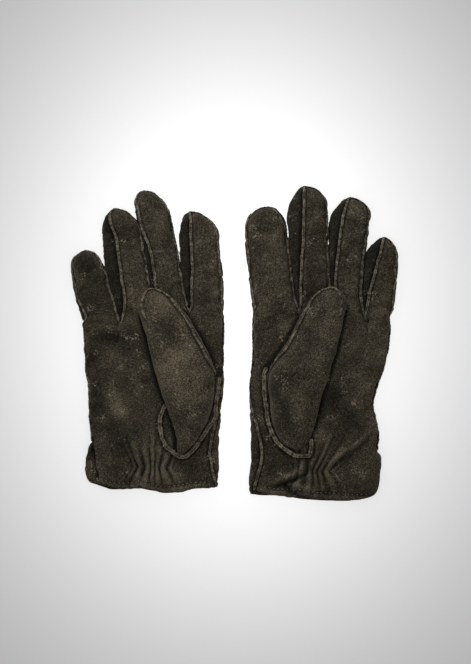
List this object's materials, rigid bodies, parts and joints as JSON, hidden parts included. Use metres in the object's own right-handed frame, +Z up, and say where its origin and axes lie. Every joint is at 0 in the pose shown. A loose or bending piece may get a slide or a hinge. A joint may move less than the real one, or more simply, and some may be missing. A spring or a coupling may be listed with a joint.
{
  "type": "gardening gloves",
  "caption": "Pair of suede gardening gloves laid palm up, with fourchettes, set-in folded thumbs, outside seams, gathered wrists and vented cuffs; fingers and thumbs bend.",
  "frame": {"origin": "middle of the pair in plan, at the flat underside that the gloves lie on", "axes": "+Z up through the gloves from their backs to their palms, +Y along the fingers, +X from the right-hand glove to the left-hand glove"},
  "size_m": [0.2697, 0.2601, 0.0286],
  "materials": {
    "suede": "napped black-brown suede, matt",
    "fourchette": "napped black-brown suede, darker between the fingers",
    "seam": "raw cut suede edge of an outside seam, lighter than the face",
    "elastic": "woven elastic tape"
  },
  "bodies": {
    "right_hand": {"right_palm_panel": "suede", "right_back_panel": "suede", "right_palm_hem": "suede", "right_back_hem": "suede", "right_wrist_elastic": "elastic", "right_index_side_seam": "seam", "right_outer_side_seam": "seam", "right_thumb_base": "suede", "right_thumb_welt": "seam"},
    "right_thumb": {"right_thumb_panel": "suede", "right_thumb_seam": "seam"},
    "right_index": {"right_index_front": "suede", "right_index_back": "suede", "right_index_outer_fourchette": "fourchette"},
    "right_middle": {"right_middle_front": "suede", "right_middle_back": "suede", "right_middle_outer_fourchette": "fourchette", "right_middle_inner_fourchette": "fourchette"},
    "right_ring": {"right_ring_front": "suede", "right_ring_back": "suede", "right_ring_outer_fourchette": "fourchette", "right_ring_inner_fourchette": "fourchette"},
    "right_little": {"right_little_front": "suede", "right_little_back": "suede", "right_little_inner_fourchette": "fourchette"},
    "left_hand": {"left_palm_panel": "suede", "left_back_panel": "suede", "left_palm_hem": "suede", "left_back_hem": "suede", "left_wrist_elastic": "elastic", "left_index_side_seam": "seam", "left_outer_side_seam": "seam", "left_thumb_base": "suede", "left_thumb_welt": "seam"},
    "left_thumb": {"left_thumb_panel": "suede", "left_thumb_seam": "seam"},
    "left_index": {"left_index_front": "suede", "left_index_back": "suede", "left_index_outer_fourchette": "fourchette"},
    "left_middle": {"left_middle_front": "suede", "left_middle_back": "suede", "left_middle_inner_fourchette": "fourchette", "left_middle_outer_fourchette": "fourchette"},
    "left_ring": {"left_ring_front": "suede", "left_ring_back": "suede", "left_ring_inner_fourchette": "fourchette", "left_ring_outer_fourchette": "fourchette"},
    "left_little": {"left_little_front": "suede", "left_little_back": "suede", "left_little_inner_fourchette": "fourchette"}
  },
  "joints": [
    {"name": "right_thumb_lift", "type": "hinge", "parent": "right_hand", "child": "right_thumb", "pos_m": [-0.0385, -0.0354, 0.0286], "axis": [0.9473, 0.3204, 0], "range_deg": [0, 70]},
    {"name": "right_index_curl", "type": "hinge", "parent": "right_hand", "child": "right_index", "pos_m": [-0.02665, 0.04697, 0.015], "axis": [0.9963, 0.086, 0], "range_deg": [0, 90]},
    {"name": "right_middle_curl", "type": "hinge", "parent": "right_hand", "child": "right_middle", "pos_m": [-0.05662, 0.05064, 0.015], "axis": [0.9846, 0.1747, 0], "range_deg": [0, 90]},
    {"name": "right_ring_curl", "type": "hinge", "parent": "right_hand", "child": "right_ring", "pos_m": [-0.08729, 0.04844, 0.015], "axis": [0.9823, 0.1875, 0], "range_deg": [0, 90]},
    {"name": "right_little_curl", "type": "hinge", "parent": "right_hand", "child": "right_little", "pos_m": [-0.11703, 0.03522, 0.015], "axis": [0.9719, 0.2353, 0], "range_deg": [0, 90]},
    {"name": "left_glove_slide", "type": "slide", "parent": "right_hand", "child": "left_hand", "axis": [1, 0, 0], "range_m": [0, 0.15]},
    {"name": "left_thumb_lift", "type": "hinge", "parent": "left_hand", "child": "left_thumb", "pos_m": [0.0495, -0.0295, 0.0286], "axis": [0.9131, -0.4078, 0], "range_deg": [0, 70]},
    {"name": "left_index_curl", "type": "hinge", "parent": "left_hand", "child": "left_index", "pos_m": [0.02939, 0.04778, 0.015], "axis": [0.9912, 0.1325, 0], "range_deg": [0, 90]},
    {"name": "left_middle_curl", "type": "hinge", "parent": "left_hand", "child": "left_middle", "pos_m": [0.06266, 0.05074, 0.015], "axis": [0.9903, 0.1391, 0], "range_deg": [0, 90]},
    {"name": "left_ring_curl", "type": "hinge", "parent": "left_hand", "child": "left_ring", "pos_m": [0.09267, 0.05098, 0.015], "axis": [0.9986, 0.0527, 0], "range_deg": [0, 90]},
    {"name": "left_little_curl", "type": "hinge", "parent": "left_hand", "child": "left_little", "pos_m": [0.11983, 0.03708, 0.015], "axis": [0.9991, -0.0424, 0], "range_deg": [0, 90]}
  ]
}
